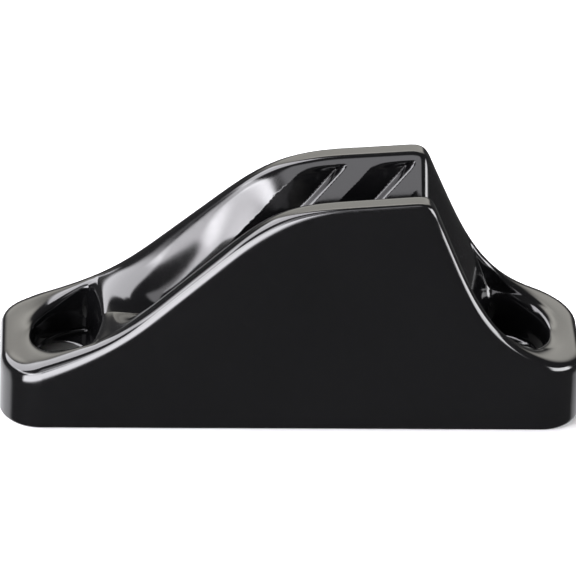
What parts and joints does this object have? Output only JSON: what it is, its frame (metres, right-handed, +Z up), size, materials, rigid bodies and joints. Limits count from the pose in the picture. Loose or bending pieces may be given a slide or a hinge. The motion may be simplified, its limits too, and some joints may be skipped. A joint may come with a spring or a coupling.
{
  "type": "V-jaw line cleat",
  "caption": "Moulded plastic V-jaw cleat that grips small line between two grooved flanks, held to the deck by countersunk screws.",
  "frame": {"origin": "middle of the face that sits on the deck", "axes": "+X along the cleat towards the tail end, where the line is pulled in; -X is the load end; +Z up, away from the deck"},
  "size_m": [0.066, 0.017, 0.0492],
  "materials": {
    "nylon": "gloss black moulded nylon",
    "screw_steel": "plain stainless steel"
  },
  "bodies": {
    "root": {"cleat_body": "nylon", "load_end_screw": "screw_steel", "tail_end_screw": "screw_steel"}
  },
  "joints": []
}
